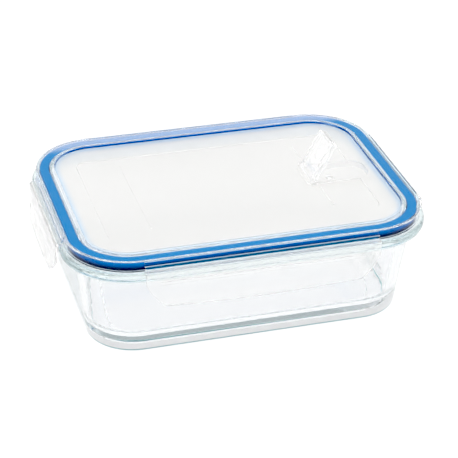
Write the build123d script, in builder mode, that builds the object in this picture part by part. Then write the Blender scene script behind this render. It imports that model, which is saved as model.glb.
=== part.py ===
from build123d import *
import os
from math import cos, radians, sin

# Glass food container with a clear, vented snap lid. Millimetres.
# +X runs along the long side, +Y to the back, +Z up. The origin is the bottom centre of the tub.
# Outlines are given by their half length along X. The half width is SIDE_STEP less, except at the base.

# ---------------------------------------------------------------- driving dimensions
SIDE_STEP = 27.1

# glass tub
BASE_HALF = 88.9          # outer wall at the table
BASE_HALF_WIDTH = 63.3
BASE_CORNER = 26.0
BASE_ROUND = 1.2
NECK_HALF = 95.9          # outer wall under the rim
NECK_CORNER = 31.5
NECK_Z = 49.5
RIM_HALF = 102.5          # rim flange
RIM_CORNER = 37.1
RIM_BOTTOM = 49.8
RIM_TOP = 55.5
RIM_ROUND_TOP = 1.9
RIM_ROUND_BOTTOM = 2.3
FLOOR_Z = 5.6             # inside floor
FLOOR_HALF = 85.4
FLOOR_CORNER = 23.5
FLOOR_ROUND = 9.0
MOUTH_HALF = 91.8         # straight land that the lid's skirt enters
MOUTH_CORNER = 27.4
MOUTH_LAND_Z = 49.5
MOUTH_ROUND = 1.4
FOOT_HALF = 76.0          # hollow under the base, inside the foot ring
FOOT_CORNER = 15.0
FOOT_DEPTH = 0.7
BEVEL_ANGLE = 45.0        # sides of the shallow hollows in the base and in the panel

# lid moulding
LID_HALF = 100.05
LID_CORNER = 34.65
LID_TOP = 62.0
LID_WALL_BOTTOM = 55.9
LID_EDGE_ROUND = 1.5
OUTER_WALL = 1.6
CHANNEL_IN = 92.4         # inner side of the gasket channel, backed by solid plastic
BAND_THICK = 1.6
SKIRT_HALF = 91.0
SKIRT_WALL = 1.5
SKIRT_BOTTOM = 51.9
PANEL_TOP = 60.2
PANEL_THICK = 1.6
PANEL_COVE = 0.7          # hollow between panel and band
BAND_INNER_ROUND = 0.6
FIELD_HALF = 77.0         # shallow sunk field in the panel
FIELD_HALF_WIDTH = 46.5
FIELD_CORNER = 6.0
FIELD_DEPTH = 0.35
RIB_X = 52.0              # thin raised lines across the panel
RIB_WIDTH = 1.1
RIB_HEIGHT = 0.45
RIB_END = 37.0            # how far each line reaches to the front and to the back
RIB_GAP_END = 14.5        # the right-hand line is broken by the vent pocket up to here

# gasket
GASKET_OUT = 98.2
GASKET_IN = 92.6
GASKET_BOTTOM = 55.8
GASKET_TOP = LID_TOP - BAND_THICK
GASKET_ROUND = 0.6
GASKET_GROOVE = 1.6
GASKET_GROOVE_DEPTH = 1.3

# latches; "out" is the distance from the middle, on the long axis
LEDGE_OUT = 101.5         # foot of the lid's ledge, which carries the living hinge
LEDGE_TOP_OUT = 100.5     # the ledge leans back so that the open latch clears it
LEDGE_TOP = 61.3
LEDGE_ROOT = 0.4          # how far the ledge reaches into the lid's wall
WEB_TOP = 58.7
WEB_BOTTOM = 57.3
WEB_THICK = 0.5
WEB_SETBACK = 0.8
HINGE_OUT = 101.1
ARM_WALL = 1.5
ARM_START_OUT = 100.7     # inner end of the shoulder
SHOULDER_OUT = 104.7      # outer corner of the shoulder, before rounding
SHOULDER_ROUND = 1.8
ARM_FOOT_OUT = 105.3      # where the finger tab starts to flare
ARM_FOOT_Z = 45.5
ARM_BEND = 14.0
TAB_OUT = 106.9           # tip of the finger tab
TAB_BOTTOM = 35.2
HOOK_OUT = 102.85         # the snap rib hangs just free of the rim
HOOK_BOTTOM = 48.2
HOOK_TOP = 50.0
HOOK_SLOPE = 0.6
HOOK_ROOT_OUT = 104.4
HOOK_SETBACK = 8.0
LATCH_LONG = 130.0        # front and back
LATCH_SHORT = 74.0        # left and right
END_STRAIGHT_Z = 51.5     # the ends run straight down to here, then curve in to the tab
WAIST_SETBACK = 3.8
WAIST_Z = 43.2
TAB_SETBACK = 7.6
TAB_SHOULDER_Z = 39.0
TAB_CORNER_SETBACK = 12.0
TAB_CORNER_Z = 36.6       # from here the tab's edge bows down to its middle
TAB_CORNER_SLOPE = 0.08

# vent pocket, flap and plug; flap heights are measured from its hinge line, flap closed
POCKET_START = 47.0
POCKET_END = 84.5
POCKET_HALF = 10.2
POCKET_FLOOR = 56.6
POCKET_WALL = 1.4
POCKET_SCOOP_CORNER = 8.0
POCKET_HINGE_CORNER = 1.2
FLAP_HINGE_X = 48.8
FLAP_HINGE_Z = 60.4
FLAP_OPEN_ANGLE = 64.0    # above the panel, as it stands
FLAP_LENGTH = 25.4
FLAP_HALF = 9.7
FLAP_CORNER = 2.2
FLAP_TOP = 1.2
FLAP_PLATE_TOP = -0.2     # the plate lies between a hollow above and a hollow below
FLAP_PLATE_BOTTOM = -1.4
FLAP_BOTTOM = -2.5
FLAP_RIM = 1.4
FLAP_HOLLOW_START = 1.6
BARREL_RADIUS = 1.2
TRUNNION_RADIUS = 0.75
TRUNNION_END = 11.5
EAR_RADIUS = 1.5
EAR_END = 12.7
EAR_BORE_RADIUS = 0.85
EAR_BORE_END = 11.7
FOOT_PEG = (2.2, 1.8, 1.1)
FOOT_PEG_X = 23.5
FOOT_PEG_Y = 8.2
PLUG_X = 13.6
PLUG_RADIUS = 3.3
PLUG_HEIGHT = 1.95
PLUG_TIP_RADIUS = 1.5
PLUG_TIP_HEIGHT = 1.5
PLUG_ROUND = 0.35
VENT_RADIUS = 2.2
VENT_SEAT_RADIUS = 3.4
VENT_SEAT_HEIGHT = 0.3

# the four sides: name, outward direction, step in from the long-axis distance, latch length
SIDES = (
    ("front", (0, -1, 0), SIDE_STEP, LATCH_LONG),
    ("back", (0, 1, 0), SIDE_STEP, LATCH_LONG),
    ("left", (-1, 0, 0), 0.0, LATCH_SHORT),
    ("right", (1, 0, 0), 0.0, LATCH_SHORT),
)

os.makedirs("parts", exist_ok=True)


# ---------------------------------------------------------------- shared helpers
def outline(half_length, corner):
    """Add a rounded rectangle to the sketch being drawn."""
    RectangleRounded(2 * half_length, 2 * (half_length - SIDE_STEP), corner)


def lid_outline(half_length, mode=Mode.ADD):
    """Add an outline that runs parallel to the lid's outer edge."""
    corner = LID_CORNER - (LID_HALF - half_length)
    RectangleRounded(2 * half_length, 2 * (half_length - SIDE_STEP), corner, mode=mode)


def section_plane(outward):
    """Local X points outward and local Y up; the normal runs along the side."""
    return Plane(origin=(0, 0, 0), x_dir=outward, z_dir=Vector(*outward).cross(Vector(0, 0, 1)))


def front_plane(outward):
    """Looking at one side from outside: local Y is up and the normal points outward."""
    return Plane(origin=(0, 0, 0), x_dir=Vector(0, 0, 1).cross(Vector(*outward)), z_dir=outward)


def write(piece, name):
    """Label a finished piece and write its STEP file."""
    piece.part.label = name
    export_step(piece.part, f"parts/{name}.step")


# ---------------------------------------------------------------- glass tub
with BuildPart() as glass_tub:
    # rim flange
    with BuildSketch(Plane.XY.offset(RIM_BOTTOM)):
        outline(RIM_HALF, RIM_CORNER)
    extrude(amount=RIM_TOP - RIM_BOTTOM)
    fillet(glass_tub.edges().group_by(Axis.Z)[-1], RIM_ROUND_TOP)
    fillet(glass_tub.edges().group_by(Axis.Z)[0], RIM_ROUND_BOTTOM)
    # tapered outer wall
    with BuildSketch(Plane.XY):
        RectangleRounded(2 * BASE_HALF, 2 * BASE_HALF_WIDTH, BASE_CORNER)
    with BuildSketch(Plane.XY.offset(NECK_Z)):
        outline(NECK_HALF, NECK_CORNER)
    loft()
    with BuildSketch(Plane.XY.offset(NECK_Z)):
        outline(NECK_HALF, NECK_CORNER)
    extrude(amount=RIM_TOP - NECK_Z)
    fillet(glass_tub.edges().group_by(Axis.Z)[0], BASE_ROUND)
    # inside
    with BuildSketch(Plane.XY.offset(FLOOR_Z)):
        outline(FLOOR_HALF, FLOOR_CORNER)
    with BuildSketch(Plane.XY.offset(MOUTH_LAND_Z)):
        outline(MOUTH_HALF, MOUTH_CORNER)
    loft(mode=Mode.SUBTRACT)
    with BuildSketch(Plane.XY.offset(MOUTH_LAND_Z)):
        outline(MOUTH_HALF, MOUTH_CORNER)
    extrude(amount=RIM_TOP - MOUTH_LAND_Z, mode=Mode.SUBTRACT)
    floor_edges = glass_tub.edges().filter_by_position(Axis.Z, FLOOR_Z, FLOOR_Z)
    fillet(floor_edges, FLOOR_ROUND)
    mouth_face = glass_tub.faces().filter_by(Axis.Z).sort_by(Axis.Z)[-1]
    fillet(mouth_face.inner_wires()[0].edges(), MOUTH_ROUND)
    # hollow inside the foot ring
    with BuildSketch(Plane.XY):
        outline(FOOT_HALF, FOOT_CORNER)
    extrude(amount=FOOT_DEPTH, taper=BEVEL_ANGLE, mode=Mode.SUBTRACT)
write(glass_tub, "glass_tub")


# ---------------------------------------------------------------- lid
def add_ledges():
    """Proud ledges that carry the living hinges, one on each side."""
    for _, outward, step, length in SIDES:
        with BuildSketch(section_plane(outward)) as ledge:
            with BuildLine():
                Polyline(
                    (LID_HALF - LEDGE_ROOT - step, WEB_TOP),
                    (LEDGE_OUT - step, WEB_TOP),
                    (LEDGE_TOP_OUT - step, LEDGE_TOP),
                    (LID_HALF - LEDGE_ROOT - step, LEDGE_TOP), close=True)
            make_face()
        extrude(ledge.sketch, amount=length / 2, both=True)


def add_panel_ribs():
    """Thin raised lines across the sunk field."""
    spans = ((-RIB_X, -RIB_END, RIB_END), (RIB_X, -RIB_END, -RIB_GAP_END), (RIB_X, RIB_GAP_END, RIB_END))
    for centre, start, end in spans:
        with BuildSketch(Plane.XY.offset(PANEL_TOP - FIELD_DEPTH)) as rib:
            with Locations((centre, (start + end) / 2)):
                SlotOverall(end - start, RIB_WIDTH, rotation=90)
        extrude(rib.sketch, amount=RIB_HEIGHT)


def pocket_outline(grow):
    """Vent pocket seen from above: square at the hinge, round at the finger scoop."""
    start, end, half = POCKET_START - grow, POCKET_END + grow, POCKET_HALF + grow
    scoop, hinge = POCKET_SCOOP_CORNER + grow, POCKET_HINGE_CORNER + grow
    middle = (start + end) / 2
    with BuildLine() as edge:
        FilletPolyline((middle, -half), (end, -half), (end, half), (middle, half), radius=scoop)
        FilletPolyline((middle, half), (start, half), (start, -half), (middle, -half), radius=hinge)
    make_face(edge.edges())


def add_vent_pocket():
    """Sunk pocket with a vent hole in its floor and an ear at each end of the flap's hinge."""
    with BuildSketch(Plane.XY.offset(POCKET_FLOOR - POCKET_WALL)) as shell:
        pocket_outline(POCKET_WALL)
    extrude(shell.sketch, amount=PANEL_TOP - POCKET_FLOOR + POCKET_WALL)
    for side in (-1, 1):
        with BuildSketch(Plane.XZ.offset(-side * POCKET_HALF)) as ear:
            with Locations((FLAP_HINGE_X, FLAP_HINGE_Z)):
                Circle(EAR_RADIUS)
                Rectangle(2 * EAR_RADIUS, FLAP_HINGE_Z - PANEL_TOP + PANEL_THICK,
                          align=(Align.CENTER, Align.MAX))
        extrude(ear.sketch, amount=-side * (EAR_END - POCKET_HALF))
    with BuildSketch(Plane.XY.offset(POCKET_FLOOR)) as pocket:
        pocket_outline(0)
    extrude(pocket.sketch, amount=PANEL_TOP - POCKET_FLOOR, mode=Mode.SUBTRACT)
    with BuildSketch(Plane.XZ) as ear_bore:
        with Locations((FLAP_HINGE_X, FLAP_HINGE_Z)):
            Circle(EAR_BORE_RADIUS)
    extrude(ear_bore.sketch, amount=EAR_BORE_END, both=True, mode=Mode.SUBTRACT)
    with BuildSketch(Plane.XY.offset(POCKET_FLOOR)) as seat:
        with Locations((FLAP_HINGE_X + PLUG_X, 0)):
            Circle(VENT_SEAT_RADIUS)
    extrude(seat.sketch, amount=VENT_SEAT_HEIGHT)
    with BuildSketch(Plane.XY.offset(POCKET_FLOOR - POCKET_WALL)) as vent:
        with Locations((FLAP_HINGE_X + PLUG_X, 0)):
            Circle(VENT_RADIUS)
    extrude(vent.sketch, amount=POCKET_WALL + VENT_SEAT_HEIGHT, mode=Mode.SUBTRACT)


with BuildPart() as lid:
    # band block with its rounded top edge, and the skirt below it
    with BuildSketch(Plane.XY.offset(LID_WALL_BOTTOM)):
        lid_outline(LID_HALF)
    extrude(amount=LID_TOP - LID_WALL_BOTTOM)
    fillet(lid.edges().group_by(Axis.Z)[-1], LID_EDGE_ROUND)
    with BuildSketch(Plane.XY.offset(SKIRT_BOTTOM)):
        lid_outline(SKIRT_HALF)
    extrude(amount=LID_WALL_BOTTOM - SKIRT_BOTTOM)
    # gasket channel
    with BuildSketch(Plane.XY.offset(LID_WALL_BOTTOM)):
        lid_outline(LID_HALF - OUTER_WALL)
        lid_outline(CHANNEL_IN, mode=Mode.SUBTRACT)
    extrude(amount=LID_TOP - BAND_THICK - LID_WALL_BOTTOM, mode=Mode.SUBTRACT)
    # space above and below the panel
    with BuildSketch(Plane.XY.offset(PANEL_TOP)):
        lid_outline(SKIRT_HALF - SKIRT_WALL)
    extrude(amount=LID_TOP - PANEL_TOP, mode=Mode.SUBTRACT)
    with BuildSketch(Plane.XY.offset(SKIRT_BOTTOM)):
        lid_outline(SKIRT_HALF - SKIRT_WALL)
    extrude(amount=PANEL_TOP - PANEL_THICK - SKIRT_BOTTOM, mode=Mode.SUBTRACT)
    band_face = lid.faces().filter_by(Axis.Z).sort_by(Axis.Z)[-1]
    fillet(band_face.inner_wires()[0].edges(), BAND_INNER_ROUND)
    panel_face = lid.faces().filter_by(Axis.Z).filter_by_position(Axis.Z, PANEL_TOP, PANEL_TOP)
    fillet(panel_face[0].outer_wire().edges(), PANEL_COVE)
    # sunk field
    with BuildSketch(Plane.XY.offset(PANEL_TOP)):
        RectangleRounded(2 * FIELD_HALF, 2 * FIELD_HALF_WIDTH, FIELD_CORNER)
    extrude(amount=-FIELD_DEPTH, taper=BEVEL_ANGLE, mode=Mode.SUBTRACT)
    add_panel_ribs()
    add_vent_pocket()
    add_ledges()
write(lid, "lid")

# ---------------------------------------------------------------- gasket
with BuildPart() as gasket:
    with BuildSketch(Plane.XY.offset(GASKET_BOTTOM)):
        lid_outline(GASKET_OUT)
        lid_outline(GASKET_IN, mode=Mode.SUBTRACT)
    extrude(amount=GASKET_TOP - GASKET_BOTTOM)
    fillet(gasket.edges().group_by(Axis.Z)[0] + gasket.edges().group_by(Axis.Z)[-1], GASKET_ROUND)
    with BuildSketch(Plane.XY.offset(GASKET_BOTTOM)):
        lid_outline((GASKET_OUT + GASKET_IN + GASKET_GROOVE) / 2)
        lid_outline((GASKET_OUT + GASKET_IN - GASKET_GROOVE) / 2, mode=Mode.SUBTRACT)
    extrude(amount=GASKET_GROOVE_DEPTH, mode=Mode.SUBTRACT)
write(gasket, "gasket")


# ---------------------------------------------------------------- latches and living hinges
def make_latch(outward, step, length):
    """Snap latch: shoulder over the rim, wall, snap rib and flared finger tab."""
    half = length / 2
    with BuildPart() as latch:
        with BuildSketch(section_plane(outward)):
            with BuildLine():
                FilletPolyline(
                    (ARM_START_OUT - step, WEB_BOTTOM),
                    (SHOULDER_OUT - step, WEB_BOTTOM),
                    (ARM_FOOT_OUT - step, ARM_FOOT_Z),
                    (TAB_OUT - step, TAB_BOTTOM),
                    radius=(SHOULDER_ROUND, ARM_BEND))
                offset(amount=ARM_WALL, side=Side.RIGHT)
            make_face()
        extrude(amount=half, both=True)
        with BuildSketch(section_plane(outward)):
            with BuildLine():
                Polyline(
                    (HOOK_OUT - step, HOOK_TOP),
                    (HOOK_OUT - step, HOOK_BOTTOM + HOOK_SLOPE),
                    (HOOK_OUT + HOOK_SLOPE - step, HOOK_BOTTOM),
                    (HOOK_ROOT_OUT - step, HOOK_BOTTOM),
                    (HOOK_ROOT_OUT - step, HOOK_TOP), close=True)
            make_face()
        extrude(amount=half - HOOK_SETBACK, both=True)
        with BuildSketch(front_plane(outward)):
            with BuildLine():
                Line((-half, LID_TOP), (half, LID_TOP))
                for side in (-1, 1):
                    Line((side * half, LID_TOP), (side * half, END_STRAIGHT_Z))
                    Spline((side * half, END_STRAIGHT_Z),
                           (side * (half - WAIST_SETBACK), WAIST_Z),
                           (side * (half - TAB_SETBACK), TAB_SHOULDER_Z),
                           (side * (half - TAB_CORNER_SETBACK), TAB_CORNER_Z),
                           tangents=((0, -1), (-side, -TAB_CORNER_SLOPE)))
                ThreePointArc((-half + TAB_CORNER_SETBACK, TAB_CORNER_Z), (0, TAB_BOTTOM),
                              (half - TAB_CORNER_SETBACK, TAB_CORNER_Z))
            make_face()
        extrude(amount=TAB_OUT + ARM_WALL, mode=Mode.INTERSECT)
    return latch


def make_web(outward, step, length):
    """Thin strip that joins the lid's ledge to the latch's shoulder."""
    with BuildPart() as web:
        with BuildSketch(section_plane(outward)):
            with Locations((HINGE_OUT - step, (WEB_TOP + WEB_BOTTOM) / 2)):
                Rectangle(WEB_THICK, WEB_TOP - WEB_BOTTOM)
        extrude(amount=length / 2 - WEB_SETBACK, both=True)
    return web


for side_name, side_outward, side_step, side_length in SIDES:
    write(make_latch(side_outward, side_step, side_length), f"{side_name}_latch")
    write(make_web(side_outward, side_step, side_length), f"{side_name}_hinge_web")

# ---------------------------------------------------------------- vent flap and plug
tilt = radians(FLAP_OPEN_ANGLE)
flap_plane = Plane(origin=(FLAP_HINGE_X, 0, FLAP_HINGE_Z),
                   x_dir=(cos(tilt), 0, sin(tilt)), z_dir=(-sin(tilt), 0, cos(tilt)))


def tray_outline(start, inset):
    """Flap or hollow seen square on: straight at the hinge, rounded at the free end."""
    end, half = FLAP_LENGTH - inset, FLAP_HALF - inset
    with BuildLine() as edge:
        FilletPolyline((start, -half), (end, -half), (end, half), (start, half),
                       radius=FLAP_CORNER - inset)
        Line((start, -half), (start, half))
    make_face(edge.edges())


with BuildPart() as vent_flap:
    with BuildSketch(flap_plane.offset(FLAP_BOTTOM)):
        tray_outline(0, 0)
    extrude(amount=FLAP_TOP - FLAP_BOTTOM)
    with BuildSketch(flap_plane.offset(FLAP_PLATE_TOP)):
        tray_outline(FLAP_HOLLOW_START, FLAP_RIM)
    extrude(amount=FLAP_TOP - FLAP_PLATE_TOP, mode=Mode.SUBTRACT)
    with BuildSketch(flap_plane.offset(FLAP_BOTTOM)):
        tray_outline(FLAP_HOLLOW_START, FLAP_RIM)
    extrude(amount=FLAP_PLATE_BOTTOM - FLAP_BOTTOM, mode=Mode.SUBTRACT)
    with BuildSketch(Plane.XZ):
        with Locations((FLAP_HINGE_X, FLAP_HINGE_Z)):
            Circle(BARREL_RADIUS)
    extrude(amount=FLAP_HALF, both=True)
    with BuildSketch(Plane.XZ):
        with Locations((FLAP_HINGE_X, FLAP_HINGE_Z)):
            Circle(TRUNNION_RADIUS)
    extrude(amount=TRUNNION_END, both=True)
    peg_length, peg_width, peg_height = FOOT_PEG
    with BuildSketch(flap_plane.offset(FLAP_BOTTOM)):
        with Locations((FOOT_PEG_X, -FOOT_PEG_Y), (FOOT_PEG_X, FOOT_PEG_Y)):
            Rectangle(peg_length, peg_width)
    extrude(amount=-peg_height)
write(vent_flap, "vent_flap")

with BuildPart() as vent_plug:
    with BuildSketch(flap_plane.offset(FLAP_PLATE_BOTTOM)):
        with Locations((PLUG_X, 0)):
            Circle(PLUG_RADIUS)
    extrude(amount=-PLUG_HEIGHT)
    with BuildSketch(flap_plane.offset(FLAP_PLATE_BOTTOM - PLUG_HEIGHT)):
        with Locations((PLUG_X, 0)):
            Circle(PLUG_TIP_RADIUS)
    extrude(amount=-PLUG_TIP_HEIGHT)
    fillet(vent_plug.edges().filter_by(GeomType.CIRCLE).sort_by(Axis.Z)[0], PLUG_ROUND)
write(vent_plug, "vent_plug")
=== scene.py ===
import math

import bpy
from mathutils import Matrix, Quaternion, Vector


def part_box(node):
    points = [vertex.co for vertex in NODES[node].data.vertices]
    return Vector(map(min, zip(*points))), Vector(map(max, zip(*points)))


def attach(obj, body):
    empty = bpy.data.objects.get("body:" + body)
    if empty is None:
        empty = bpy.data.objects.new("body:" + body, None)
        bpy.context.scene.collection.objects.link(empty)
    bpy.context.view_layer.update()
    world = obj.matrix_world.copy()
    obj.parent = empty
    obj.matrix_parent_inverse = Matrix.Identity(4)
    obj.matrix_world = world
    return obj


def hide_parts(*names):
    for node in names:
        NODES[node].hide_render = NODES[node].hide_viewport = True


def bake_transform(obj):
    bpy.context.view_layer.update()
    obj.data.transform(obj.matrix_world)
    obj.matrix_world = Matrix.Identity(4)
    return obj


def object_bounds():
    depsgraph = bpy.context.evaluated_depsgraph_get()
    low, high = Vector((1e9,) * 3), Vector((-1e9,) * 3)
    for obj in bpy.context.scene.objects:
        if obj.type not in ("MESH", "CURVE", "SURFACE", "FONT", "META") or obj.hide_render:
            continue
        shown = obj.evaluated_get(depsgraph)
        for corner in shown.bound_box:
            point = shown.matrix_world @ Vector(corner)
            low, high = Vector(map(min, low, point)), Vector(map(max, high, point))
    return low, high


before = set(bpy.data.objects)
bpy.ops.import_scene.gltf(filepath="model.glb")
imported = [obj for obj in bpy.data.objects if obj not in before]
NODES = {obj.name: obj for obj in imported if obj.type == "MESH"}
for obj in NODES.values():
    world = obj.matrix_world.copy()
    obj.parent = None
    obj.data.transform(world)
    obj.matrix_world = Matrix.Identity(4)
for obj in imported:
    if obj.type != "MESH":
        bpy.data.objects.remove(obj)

# A rectangular glass food box with a clear snap lid, in metres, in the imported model's frame:
# +X along the long side towards the vent, +Y to the back, +Z up.

CAD_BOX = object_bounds()
TUB_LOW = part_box("glass_tub")[0]
LID_LOW, LID_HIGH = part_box("lid")
SIDES = ("front", "back", "left", "right")

# camera, as it stands round the object
AIM = Vector((0.0066, 0.0125, 0.0235))
AZIMUTH = math.radians(-16.99)
ELEVATION = math.radians(29.80)
ROLL = math.radians(1.195)
DISTANCE = 0.9896
LENS = 133.74
SENSOR = 36.0
CLIP_START, CLIP_END = 0.05, 50.0

# picture and light
BLACK_LEVEL = 0.10
ALL_BOUNCES, CLEAR_BOUNCES = 32, 24
FLOOR_RADIUS = 6.0
FLOOR_GAP = 0.0002
FLOOR_WHITE = 0.93
SKY_DARK, SKY_BRIGHT = 0.7, 1.30
SKY_FROM, SKY_TO = 0.02, 0.22     # sine of the elevation where the dome is dark, and where it is bright
DARK_CARD = (0.25, 0.83, 0.50)    # direction of the dim part of the dome, above and behind the object
CARD_FROM, CARD_TO = 0.70, 0.90   # nearness to that direction where the dimming starts, and is full
CARD_SHARE = 0.58

# the vent flap's hinge line (X, Z), its angle at rest, and the plug on its plate: (radius, depth) pairs
FLAP_HINGE = Vector((0.0488, 0.0604))
FLAP_TILT = math.radians(64)
PLUG_ALONG = 0.0136
PLUG_START = 0.0014
PLUG_ROUND = 0.00035
PLUG_TURNS = 40
PLUG_PROFILE = ((0, 0), (0.0033, 0), (0.0033, 0.0016), (0.0029, 0.00195), (0.0017, 0.00195), (0.0015, 0.0022),
                (0.0015, 0.0031), (0.0011, 0.00345), (0, 0.00345))

# glass: its colour, the painted shade along its edges, the tint of its rim, and the heights above the table
# of its heel, where painted shade lies, and of its foot
GLASS_IOR = 1.47
GLASS_DIM, GLASS_BRIGHT = (0.966, 0.968, 0.976), (0.974, 0.977, 0.982)
# painted shade: dark green-blue laid where the glass is seen edge-on, and round its heel, for the dark lines
# that light bent in thick glass shows there
PAINTED_EDGE_SHADE, PAINTED_EDGE_FROM = (0.16, 0.36, 0.40), 0.84
RIM_TINT, RIM_FROM, RIM_TO = (0.84, 0.945, 0.940), 0.0496, 0.0504
HEEL_SHADE_HEIGHTS = (0.00005, 0.00015, 0.0011, 0.0015)    # its painted shade starts, is full, starts to fade, ends
HEEL_SHADE_OUTLINE = Vector((0.0868, 0.0612, 0.0239))              # and stays outside this: half length, half width, corner
HEEL_SHADE_BLUR = 0.0003
FOOT_FROM, FOOT_TO = 0.0002, 0.0006
FOOT_CLEARNESS, FOOT_ROUGHNESS = 0.45, 0.5
ABSORPTION, DENSITY = (0.58, 0.68, 0.70, 1), 8.0

# lid: the frosted panel ends where the band begins; a painted blue reflection of the seal lies along the
# panel's edge, the back of the band is painted pale as a reflection, and a painted navy line for the seal's
# shaded side runs round the band's inner wall
PLASTIC_IOR = 1.49
BAND = 0.0105
BAND_CORNER = 0.0242
EDGE_BLUR = 0.0015
SEAL_REFLECTION_WIDTH = 0.0030
# painted reflection: the band is pale and milkier from here to its back
PAINTED_PALE_START, PAINTED_PALE_END = 0.057, 0.066
PANEL_DIM, PANEL_BRIGHT = (0.865, 0.862, 0.852), (0.888, 0.884, 0.876)
SEAL_REFLECTION_BLUE = (0.60, 0.78, 0.97)
BAND_CLEAR, BAND_PAINTED_PALE = (0.925, 0.958, 0.995), (0.80, 0.85, 0.95)
PANEL_MILK, BAND_PAINTED_MILK = 0.38, 0.24
POLISH = 0.02                     # roughness of the polished band
# painted shade: a navy line round the band's inner wall for the shaded side of the seal seen through it
PAINTED_SEAL_NAVY = (0.02, 0.11, 0.44)
PAINTED_NAVY_OUTER, PAINTED_NAVY_INNER, PAINTED_NAVY_BLUR = 0.0009, 0.0021, 0.0001
PAINTED_NAVY_DEPTHS = (0.00155, 0.00135, 0.00045, 0.00025)   # under the lid's top: starts, is full, fades, ends

# the seal in the lid's band
SILICONE_IOR = 1.41
SEAL_WIDTH = 0.0056
SEAL_ROUND = 0.0007
SEAL_PAINTED_SHADE = 0.0014               # painted shade: the seal is darkest up to this height above its lips
GASKET_CORNER = 0.0328
CROWN_IN, CROWN_DROP, NECK_IN, LIP_LIFT = 0.0002, 0.0001, 0.0004, 0.0001
SHOULDER_RISE, NECK_RISE, HOLLOW_RISE = 0.35, 0.55, 0.32    # shares of the seal's height
LIP_INNER, HOLLOW_HALF = 0.3, 0.16                          # shares of its half width
SILICONE_DRIFT, SILICONE_SATIN = 0.12, 0.06                 # unevenness of its colour and of its roughness
MOST_CUT = 0.45                   # the share of a profile's edge that rounding may take at each end

# hinge strips: how narrow the middle is beside the ends, and the rows and columns of faces
WAIST = 0.72
ROWS, COLUMNS = 14, 24


# ---------------------------------------------------------------- node helpers
def smooth_range(nodes, links, value, low, high, to_low, to_high):
    """A smooth change from to_low to to_high as a value goes from low to high."""
    node = nodes.new("ShaderNodeMapRange")
    node.interpolation_type = "SMOOTHSTEP"
    for name, number in (("From Min", low), ("From Max", high), ("To Min", to_low), ("To Max", to_high)):
        node.inputs[name].default_value = number
    links.new(value, node.inputs["Value"])
    return node.outputs["Result"]


def inset(outline, distance):
    """A rounded rectangle's half length, half width and corner, moved inwards."""
    return [length - distance for length in outline]


class Tree:
    """Short names for building one material's nodes."""

    def __init__(self, name):
        self.material = bpy.data.materials.new(name)
        self.material.use_nodes = True
        self.nodes = self.material.node_tree.nodes
        self.links = self.material.node_tree.links
        self.shader = self.nodes["Principled BSDF"]
        self.output = self.nodes["Material Output"]
        self.place = self.nodes.new("ShaderNodeTexCoord").outputs["Object"]

    def set(self, **values):
        """Set the shader's own sockets, such as IOR or Roughness."""
        for name, value in values.items():
            self.shader.inputs[name.replace("_", " ")].default_value = value

    def drive(self, name, value):
        """Link a value to one of the shader's sockets."""
        self.links.new(value, self.shader.inputs[name])

    def noise(self, scale, detail=3.0, rough=0.5, stretch=(1, 1, 1)):
        mapping = self.nodes.new("ShaderNodeMapping")
        mapping.inputs["Scale"].default_value = stretch
        self.links.new(self.place, mapping.inputs["Vector"])
        node = self.nodes.new("ShaderNodeTexNoise")
        node.inputs["Scale"].default_value = scale
        node.inputs["Detail"].default_value = detail
        node.inputs["Roughness"].default_value = rough
        self.links.new(mapping.outputs["Vector"], node.inputs["Vector"])
        return node.outputs["Fac"]

    def ranged(self, value, low, high, to_low=0.0, to_high=1.0):
        return smooth_range(self.nodes, self.links, value, low, high, to_low, to_high)

    def maths(self, operation, a, b):
        node = self.nodes.new("ShaderNodeMath")
        node.operation = operation
        for socket, value in zip(node.inputs, (a, b)):
            if isinstance(value, (int, float)):
                socket.default_value = value
            else:
                self.links.new(value, socket)
        return node.outputs[0]

    def times(self, a, b):
        return self.maths("MULTIPLY", a, b)

    def opposite(self, share):
        return self.maths("SUBTRACT", 1.0, share)

    def mix_colour(self, share, a, b):
        """A mix of two colours, each a (red, green, blue) tuple or the output of another node."""
        node = self.nodes.new("ShaderNodeMix")
        node.data_type = "RGBA"
        for name, colour in (("A", a), ("B", b)):
            if isinstance(colour, tuple):
                node.inputs[name].default_value = (*colour, 1)
            else:
                self.links.new(colour, node.inputs[name])
        self.links.new(share, node.inputs["Factor"])
        return node.outputs["Result"]

    def along(self, axis):
        """Distance along an axis, in metres, that moves with the piece; Z is the height above the table."""
        node = self.nodes.new("ShaderNodeSeparateXYZ")
        self.links.new(self.place, node.inputs["Vector"])
        return node.outputs[axis]

    def bump(self, height, distance, strength):
        node = self.nodes.new("ShaderNodeBump")
        node.inputs["Distance"].default_value = distance
        node.inputs["Strength"].default_value = strength
        self.links.new(height, node.inputs["Height"])
        self.links.new(node.outputs["Normal"], self.shader.inputs["Normal"])

    def between(self, value, start, full, fading, end):
        """1 from full to fading, and 0 before start and after end."""
        return self.times(self.ranged(value, start, full), self.ranged(value, fading, end, 1.0, 0.0))

    def inside_outline(self, half_x, half_y, corner, blur):
        """1 well inside a rounded rectangle about the origin, 0 outside it."""
        past = []
        for axis, half in (("X", half_x), ("Y", half_y)):
            reach = self.maths("ABSOLUTE", self.along(axis), 0)
            past.append(self.maths("MAXIMUM", self.maths("SUBTRACT", reach, half - corner), 0))
        squares = [self.times(p, p) for p in past]
        distance = self.maths("SQRT", self.maths("ADD", *squares), 0)
        return self.ranged(distance, corner - blur, corner + blur, 1.0, 0.0)


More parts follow.
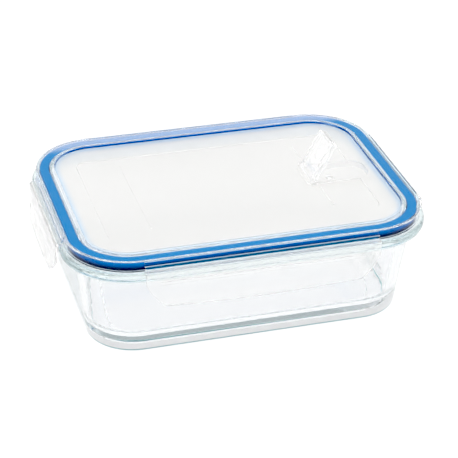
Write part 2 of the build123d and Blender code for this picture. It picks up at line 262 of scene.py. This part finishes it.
# ---------------------------------------------------------------- materials
def pressed_glass():
    """Clear borosilicate, a little wavy as pressed glass is; its rim is tinted green-blue, and painted shade
    in dark green-blue lies along its edges seen edge-on and round its heel.
    """
    tree = Tree("pressed_glass")
    tree.set(IOR=GLASS_IOR)
    height = tree.along("Z")
    # painted shade: dark green-blue where the glass is seen edge-on
    facing = tree.nodes.new("ShaderNodeLayerWeight")
    facing.inputs["Blend"].default_value = 0.5
    edge = tree.ranged(facing.outputs["Facing"], PAINTED_EDGE_FROM, 1.0)
    # painted shade: a dark green-blue band round the heel, near the outer wall only
    within = tree.inside_outline(*HEEL_SHADE_OUTLINE, HEEL_SHADE_BLUR)
    heel = tree.between(height, *(TUB_LOW.z + rise for rise in HEEL_SHADE_HEIGHTS))
    heel = tree.times(heel, tree.opposite(within))
    clear = tree.mix_colour(tree.noise(scale=18), GLASS_DIM, GLASS_BRIGHT)
    body = tree.mix_colour(tree.ranged(height, RIM_FROM, RIM_TO), clear, RIM_TINT)
    tree.drive("Base Color", tree.mix_colour(tree.maths("MAXIMUM", edge, heel), body, PAINTED_EDGE_SHADE))
    foot = tree.ranged(height, TUB_LOW.z + FOOT_FROM, TUB_LOW.z + FOOT_TO, 1.0, 0.0)
    tree.drive("Transmission Weight", tree.ranged(foot, 0.0, 1.0, 1.0, FOOT_CLEARNESS))
    wave = tree.ranged(tree.noise(scale=60, detail=4), 0.45, 0.8, to_low=0.0, to_high=0.02)
    tree.drive("Roughness", tree.maths("MAXIMUM", wave, tree.times(foot, FOOT_ROUGHNESS)))
    tree.bump(tree.noise(scale=28, detail=1.5), distance=0.00015, strength=0.2)
    absorb = tree.nodes.new("ShaderNodeVolumeAbsorption")
    absorb.inputs["Color"].default_value = ABSORPTION
    absorb.inputs["Density"].default_value = DENSITY
    tree.links.new(absorb.outputs["Volume"], tree.output.inputs["Volume"])
    return tree.material


def clear_plastic(name, rough, milk, dim, bright):
    """Natural polypropylene: clear and glossy, with a faint frost and the flow marks of moulding."""
    tree = Tree(name)
    tree.set(IOR=PLASTIC_IOR, Transmission_Weight=1.0 - milk)
    flow = tree.noise(scale=22, detail=4, rough=0.55, stretch=(0.35, 1, 1))
    tree.drive("Base Color", tree.mix_colour(flow, dim, bright))
    tree.drive("Roughness", tree.ranged(tree.noise(scale=140, detail=3), 0.3, 0.75, *rough))
    tree.bump(tree.noise(scale=45, detail=2), distance=0.00008, strength=0.15)
    return tree.material


def lid_plastic():
    """The lid's polypropylene: a polished band round a finely frosted panel, with painted light: a blue
    reflection of the seal beside the band, a pale reflection on the back of the band, and a navy line for the
    seal's shaded side.
    """
    tree = Tree("lid_plastic")
    tree.set(IOR=PLASTIC_IOR)
    flow = tree.noise(scale=14, detail=4, rough=0.55, stretch=(0.4, 1, 1))
    outline = (LID_HIGH.x - BAND, LID_HIGH.y - BAND, BAND_CORNER)
    panel = tree.inside_outline(*inset(outline, EDGE_BLUR), EDGE_BLUR / 4)
    # painted reflection: the panel is coloured blue next to the band, for the blue seal reflected there
    away = tree.inside_outline(*inset(outline, SEAL_REFLECTION_WIDTH), SEAL_REFLECTION_WIDTH)
    frost = tree.mix_colour(away, SEAL_REFLECTION_BLUE, tree.mix_colour(flow, PANEL_DIM, PANEL_BRIGHT))
    # painted reflection: the back of the band is coloured pale and made milkier for the bright backdrop
    # reflected there; painted shade: its inner wall carries a navy line for the shaded side of the seal seen
    # through it
    pale = tree.ranged(tree.along("Y"), PAINTED_PALE_START, PAINTED_PALE_END)
    band = tree.mix_colour(pale, BAND_CLEAR, BAND_PAINTED_PALE)
    # painted shade: the navy ring on the band's inner wall, just under the lid's top
    ring = tree.maths("SUBTRACT", tree.inside_outline(*inset(outline, PAINTED_NAVY_OUTER), PAINTED_NAVY_BLUR),
                      tree.inside_outline(*inset(outline, PAINTED_NAVY_INNER), PAINTED_NAVY_BLUR))
    wall = tree.times(ring, tree.between(tree.along("Z"), *(LID_HIGH.z - depth for depth in PAINTED_NAVY_DEPTHS)))
    off_wall = tree.opposite(wall)
    lined = tree.mix_colour(wall, band, PAINTED_SEAL_NAVY)
    tree.drive("Base Color", tree.mix_colour(tree.times(panel, off_wall), lined, frost))
    # the frosted panel is milky; the back of the band is milky only as part of its painted pale reflection
    milk = tree.maths("MAXIMUM", tree.times(panel, PANEL_MILK), tree.times(pale, BAND_PAINTED_MILK))
    tree.drive("Transmission Weight", tree.opposite(tree.times(milk, off_wall)))
    grain = tree.ranged(tree.noise(scale=420, detail=2), 0.3, 0.7, to_low=0.20, to_high=0.30)
    rough = tree.ranged(tree.times(panel, grain), 0.0, 1.0, to_low=POLISH, to_high=1.0 + POLISH)
    tree.drive("Roughness", rough)
    tree.bump(tree.noise(scale=45, detail=2), distance=0.00006, strength=0.15)
    return tree.material


def silicone(name, low, middle, high, bottom, top, rough):
    """Soft moulded silicone with a fine satin grain; low, middle and high are its colour up its height."""
    tree = Tree(name)
    tree.set(IOR=SILICONE_IOR, Specular_IOR_Level=0.1)
    unevenness = tree.maths("SUBTRACT", tree.noise(scale=35, detail=3), 0.5)
    rise = tree.maths("ADD", tree.along("Z"), tree.times(unevenness, SILICONE_DRIFT * (top - bottom)))
    centre = (bottom + top) / 2
    lower = tree.mix_colour(tree.ranged(rise, bottom, centre), low, middle)
    tree.drive("Base Color", tree.mix_colour(tree.ranged(rise, centre, top), lower, high))
    satin = tree.noise(scale=300, detail=3)
    tree.drive("Roughness", tree.ranged(satin, 0.3, 0.7, rough - SILICONE_SATIN, rough + SILICONE_SATIN))
    tree.bump(tree.noise(scale=900, detail=2), distance=0.00002, strength=0.4)
    return tree.material


def floor_white():
    """Plain pale studio floor."""
    tree = Tree("studio_floor")
    tree.set(Roughness=1.0, Specular_IOR_Level=0.0, Base_Color=(FLOOR_WHITE, FLOOR_WHITE, FLOOR_WHITE, 1))
    return tree.material


def dress(names, material):
    """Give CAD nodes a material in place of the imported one."""
    for name in names:
        for slot in NODES[name].material_slots:
            slot.material = material


def pass_light(pieces):
    """Let lamplight, and light off pale surfaces, straight through clear pieces."""
    for piece in pieces:
        piece.visible_shadow = False
        piece.visible_diffuse = False


# ---------------------------------------------------------------- pieces
def mesh_piece(name, points, faces, material, smooth):
    """A new mesh object in one material."""
    mesh = bpy.data.meshes.new(name)
    mesh.from_pydata(points, [], faces)
    mesh.validate()
    mesh.materials.append(material)
    for face in mesh.polygons:
        face.use_smooth = smooth
    piece = bpy.data.objects.new(name, mesh)
    bpy.context.scene.collection.objects.link(piece)
    return piece


def soft_piece(name, points, faces, body, node, material):
    """A smooth-shaded soft piece that stands for one CAD node."""
    piece = mesh_piece(name, points, faces, material, True)
    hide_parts(node)
    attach(piece, body)
    return piece


def hinge_strip(side, material):
    """The thin living hinge strip between the lid's ledge and one latch."""
    low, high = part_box(f"{side}_hinge_web")
    along = 0 if high.x - low.x > high.y - low.y else 1
    across = 1 - along
    middle = (low[across] + high[across]) / 2
    half = (high[across] - low[across]) / 2
    points, faces = [], []
    for i in range(ROWS + 1):
        share = i / ROWS
        waist = half * (WAIST + (1 - WAIST) * (2 * share - 1) ** 2)
        for j in range(COLUMNS + 1):
            for face in (-1, 1):
                p = [0.0, 0.0, low.z + share * (high.z - low.z)]
                p[along] = low[along] + j / COLUMNS * (high[along] - low[along])
                p[across] = middle + face * waist
                points.append(p)

    def index(i, j, face):
        return (i * (COLUMNS + 1) + j) * 2 + face

    last = COLUMNS
    for i in range(ROWS):
        for j in range(COLUMNS):
            faces.append((index(i, j, 0), index(i, j + 1, 0), index(i + 1, j + 1, 0), index(i + 1, j, 0)))
            faces.append((index(i, j, 1), index(i + 1, j, 1), index(i + 1, j + 1, 1), index(i, j + 1, 1)))
        faces.append((index(i, 0, 0), index(i + 1, 0, 0), index(i + 1, 0, 1), index(i, 0, 1)))
        faces.append((index(i, last, 0), index(i, last, 1), index(i + 1, last, 1), index(i + 1, last, 0)))
    for j in range(COLUMNS):
        faces.append((index(0, j, 0), index(0, j, 1), index(0, j + 1, 1), index(0, j + 1, 0)))
        faces.append((index(ROWS, j, 0), index(ROWS, j + 1, 0), index(ROWS, j + 1, 1), index(ROWS, j, 1)))
    piece = mesh_piece(f"{side}_hinge_strip", points, faces, material, False)
    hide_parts(f"{side}_hinge_web")
    start, end = [0.0, 0.0, high.z], [0.0, 0.0, low.z]
    start[across] = end[across] = middle
    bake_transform(piece)
    return piece


def rounded_path(half_x, half_y, corner, steps=16):
    """Points and outward directions round a rounded rectangle about the origin."""
    spots = []
    for quarter, (sign_x, sign_y) in enumerate(((1, 1), (-1, 1), (-1, -1), (1, -1))):
        centre = Vector((sign_x * (half_x - corner), sign_y * (half_y - corner), 0))
        for k in range(steps + 1):
            turn = math.radians(90 * quarter + 90 * k / steps)
            away = Vector((math.cos(turn), math.sin(turn), 0))
            spots.append((centre + away * corner, away))
    return spots


def closed_sweep(name, spots, profile, body, node, material):
    """A ring with a closed profile of (distance out, height) carried round the spots."""
    points = [spot + away * out + Vector((0, 0, up)) for spot, away in spots for out, up in profile]
    count, around = len(profile), len(spots)
    faces = [(i * count + j, (i + 1) % around * count + j,
              (i + 1) % around * count + (j + 1) % count, i * count + (j + 1) % count)
             for i in range(around) for j in range(count)]
    return soft_piece(name, points, faces, body, node, material)


def soft_profile(corners, rounding, steps=5):
    """The corners of a closed profile with each one rounded off."""
    points = []
    for k, here in enumerate(corners):
        here = Vector(here)
        before, after = Vector(corners[k - 1]), Vector(corners[(k + 1) % len(corners)])
        into, onward = (before - here), (after - here)
        cut = min(rounding, into.length * MOST_CUT, onward.length * MOST_CUT)
        start, end = here + into.normalized() * cut, here + onward.normalized() * cut
        for step in range(steps + 1):
            share = step / steps
            points.append(tuple(start * (1 - share) ** 2 + here * 2 * share * (1 - share) + end * share ** 2))
    return points


def gasket_seal(material):
    """The blue silicone seal: a crowned top, and two soft lips that press on the glass."""
    low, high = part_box("gasket")
    tall = high.z - low.z
    half = SEAL_WIDTH / 2
    spots = rounded_path(high.x - half, high.y - half, GASKET_CORNER - half)
    # one side, from the outside of a lip up to the crown, and the underside from that lip to the hollow
    side = [(half, low.z), (half, low.z + SHOULDER_RISE * tall), (half - NECK_IN, low.z + NECK_RISE * tall),
            (half - CROWN_IN, high.z - CROWN_DROP)]
    under = [(LIP_INNER * half, low.z + LIP_LIFT), (HOLLOW_HALF * half, low.z + HOLLOW_RISE * tall)]
    corners = [(-out, up) for out, up in side] + [(0, high.z)] + side[::-1] + under
    corners += [(-out, up) for out, up in under[::-1]]
    profile = soft_profile(corners, SEAL_ROUND)
    return closed_sweep("gasket_seal", spots, profile, "lid", "gasket", material)


def vent_plug(material):
    """The flap's silicone plug: a soft dome with a flange on the plate and a nub that enters the vent."""
    hinge = Vector((FLAP_HINGE.x, 0, FLAP_HINGE.y))
    along = Vector((math.cos(FLAP_TILT), 0, math.sin(FLAP_TILT)))
    down = Vector((math.sin(FLAP_TILT), 0, -math.cos(FLAP_TILT)))
    centre = hinge + along * PLUG_ALONG + down * PLUG_START
    outline = soft_profile(PLUG_PROFILE, PLUG_ROUND)
    points, faces = [centre + down * outline[0][1]], []
    for k in range(PLUG_TURNS):
        angle = 2 * math.pi * k / PLUG_TURNS
        away = along * math.cos(angle) + Vector((0, math.sin(angle), 0))
        points += [centre + away * out + down * depth for out, depth in outline[1:]]
    points.append(centre + down * outline[-1][1])
    count = len(outline) - 1
    for k in range(PLUG_TURNS):
        here, there = 1 + k * count, 1 + (k + 1) % PLUG_TURNS * count
        faces.append((0, here, there))
        faces += [(here + j, here + j + 1, there + j + 1, there + j) for j in range(count - 1)]
        faces.append((here + count - 1, len(points) - 1, there + count - 1))
    return soft_piece("flap_plug", points, faces, "vent_flap", "vent_plug", material)


# ---------------------------------------------------------------- studio
def studio():
    """Pale floor, and a soft white dome, darker near the horizon and in one patch behind the object."""
    bpy.ops.mesh.primitive_circle_add(vertices=96, radius=FLOOR_RADIUS, fill_type="NGON")
    floor = bpy.context.object
    floor.name = "studio_floor"
    floor.location.z = TUB_LOW.z - FLOOR_GAP
    floor.data.materials.append(floor_white())

    world = bpy.data.worlds.new("studio_dome")
    world.use_nodes = True
    bpy.context.scene.world = world
    nodes, links = world.node_tree.nodes, world.node_tree.links
    direction = nodes.new("ShaderNodeTexCoord").outputs["Generated"]
    split = nodes.new("ShaderNodeSeparateXYZ")
    links.new(direction, split.inputs["Vector"])
    toward = nodes.new("ShaderNodeVectorMath")
    toward.operation = "DOT_PRODUCT"
    toward.inputs[1].default_value = DARK_CARD
    links.new(direction, toward.inputs[0])
    strength = nodes.new("ShaderNodeMath")
    strength.operation = "MULTIPLY"
    sky = smooth_range(nodes, links, split.outputs["Z"], SKY_FROM, SKY_TO, SKY_DARK, SKY_BRIGHT)
    card = smooth_range(nodes, links, toward.outputs["Value"], CARD_FROM, CARD_TO, 1.0, CARD_SHARE)
    links.new(sky, strength.inputs[0])
    links.new(card, strength.inputs[1])
    links.new(strength.outputs[0], nodes["Background"].inputs["Strength"])
    nodes["Background"].inputs["Color"].default_value = (1, 1, 1, 1)


def camera():
    """The camera, turned and rolled round the object."""
    back = Vector((math.sin(AZIMUTH) * math.cos(ELEVATION), -math.cos(AZIMUTH) * math.cos(ELEVATION),
                   math.sin(ELEVATION)))
    data = bpy.data.cameras.new("camera")
    data.lens, data.sensor_width = LENS, SENSOR
    data.clip_start, data.clip_end = CLIP_START, CLIP_END
    cam = bpy.data.objects.new("camera", data)
    bpy.context.scene.collection.objects.link(cam)
    cam.location = AIM + back * DISTANCE
    cam.rotation_mode = "QUATERNION"
    cam.rotation_quaternion = (-back).to_track_quat("-Z", "Y") @ Quaternion((0, 0, 1), ROLL)
    bpy.context.scene.camera = cam


def picture():
    """The contrast of the picture, and how often light may turn inside the clear pieces."""
    view = bpy.context.scene.view_settings
    view.view_transform = "Standard"
    view.use_curve_mapping = True
    view.curve_mapping.black_level = (BLACK_LEVEL, BLACK_LEVEL, BLACK_LEVEL)
    view.curve_mapping.update()
    # light goes round inside the thick glass many times before it leaves
    cycles = bpy.context.scene.cycles
    cycles.max_bounces = ALL_BOUNCES
    cycles.glossy_bounces = cycles.transmission_bounces = CLEAR_BOUNCES


picture()
latches = [f"{side}_latch" for side in SIDES]
latch_plastic = clear_plastic("latch_plastic", rough=(0.10, 0.18), milk=0.16,
                              dim=(0.935, 0.935, 0.932), bright=(0.955, 0.955, 0.950))
flap_plastic = clear_plastic("flap_plastic", rough=(0.06, 0.12), milk=0.22,
                             dim=(0.965, 0.965, 0.960), bright=(0.985, 0.985, 0.980))
dress(["glass_tub"], pressed_glass())
dress(["lid"], lid_plastic())
dress(latches, latch_plastic)
dress(["vent_flap"], flap_plastic)
seal_low, seal_high = (corner.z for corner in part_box("gasket"))
# painted shade: the blue seal is near black at its foot, down in the lid's channel, and lighter up to its
# crown where light reaches it
blue_silicone = silicone("blue_silicone", low=(0.0, 0.006, 0.045), middle=(0.0, 0.115, 0.39),
                         high=(0.0, 0.23, 0.55), bottom=seal_low + SEAL_PAINTED_SHADE, top=seal_high, rough=0.45)
clear_silicone = silicone("clear_silicone", low=(0.86, 0.88, 0.88), middle=(0.90, 0.92, 0.92),
                          high=(0.93, 0.94, 0.94), bottom=LID_LOW.z, top=CAD_BOX[1].z, rough=0.35)
gasket_seal(blue_silicone)
vent_plug(clear_silicone)
# painted shade: the clear hinge strips are coloured dark blue for the shaded gap under the ledge, where the
# blue seal shows
hinge_painted_blue = clear_plastic("hinge_painted_blue", rough=(0.04, 0.10), milk=0.25,
                              dim=(0.05, 0.24, 0.42), bright=(0.08, 0.30, 0.50))
strips = [hinge_strip(side, hinge_painted_blue) for side in SIDES]
pass_light(strips + [NODES[name] for name in ("glass_tub", "lid", "vent_flap", *latches)])
studio()
camera()
